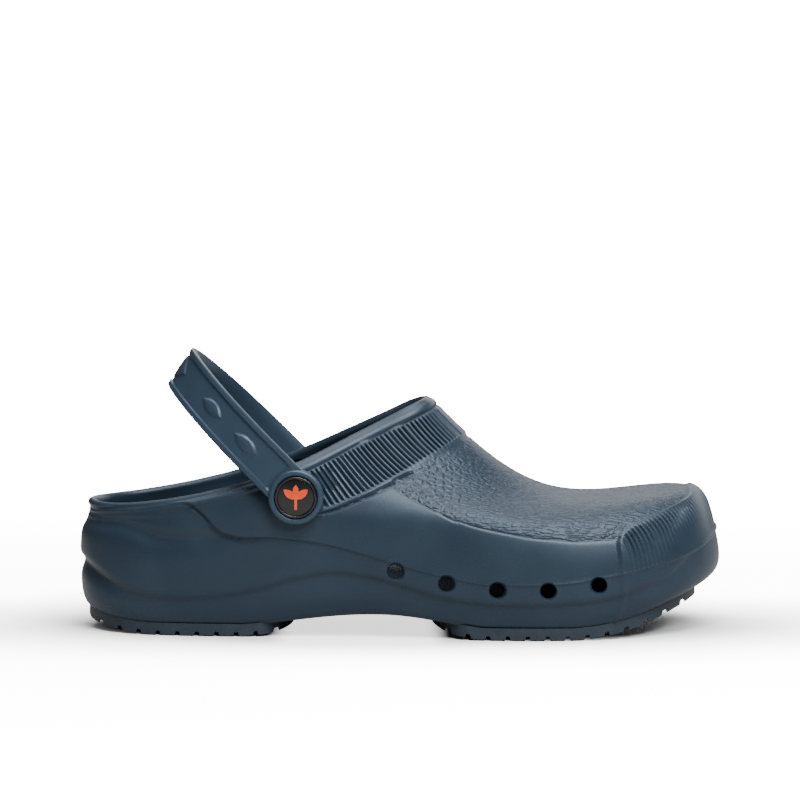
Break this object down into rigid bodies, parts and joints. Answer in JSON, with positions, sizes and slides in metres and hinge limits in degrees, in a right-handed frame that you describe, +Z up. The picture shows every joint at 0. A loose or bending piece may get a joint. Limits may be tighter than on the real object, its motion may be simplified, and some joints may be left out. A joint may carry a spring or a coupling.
{
  "type": "garden clog",
  "caption": "Closed-toe slip-on rubber clog with vented sides, ribbed collar, removable insole, lugged outsole pads and a heel strap that swivels on two rivets.",
  "frame": {"origin": "on the ground, under the centre of the bounding box", "axes": "+X from heel to toe, +Y to the inner side of the foot, +Z up from the ground"},
  "size_m": [0.2848, 0.1083, 0.1245],
  "materials": {
    "body_rubber": "satin moulded rubber, pebbled on the vamp and ribbed round the collar and toe",
    "insole_foam": "matt dimpled foam rubber",
    "outsole_rubber": "matt dark tread rubber",
    "strap_rubber": "satin moulded rubber with raised borders and lens-shaped bumps",
    "rivet_plastic": "satin moulded plastic",
    "badge_plastic": "glossy black insert",
    "emblem_ink": "raised orange print"
  },
  "bodies": {
    "clog": {"clog_body": "body_rubber", "insole": "insole_foam", "heel_outsole": "outsole_rubber", "forefoot_outsole": "outsole_rubber", "lateral_rivet_button": "rivet_plastic", "lateral_rivet_snap": "rivet_plastic", "lateral_badge": "badge_plastic", "lateral_emblem": "emblem_ink", "medial_rivet_button": "rivet_plastic", "medial_rivet_snap": "rivet_plastic", "medial_badge": "badge_plastic", "medial_emblem": "emblem_ink"},
    "strap": {"heel_strap": "strap_rubber"}
  },
  "joints": [
    {"name": "strap_swivel", "type": "hinge", "parent": "clog", "child": "strap", "pos_m": [-0.0447, 0, 0.0623], "axis": [0, 1, 0], "range_deg": [-32, 96]}
  ]
}
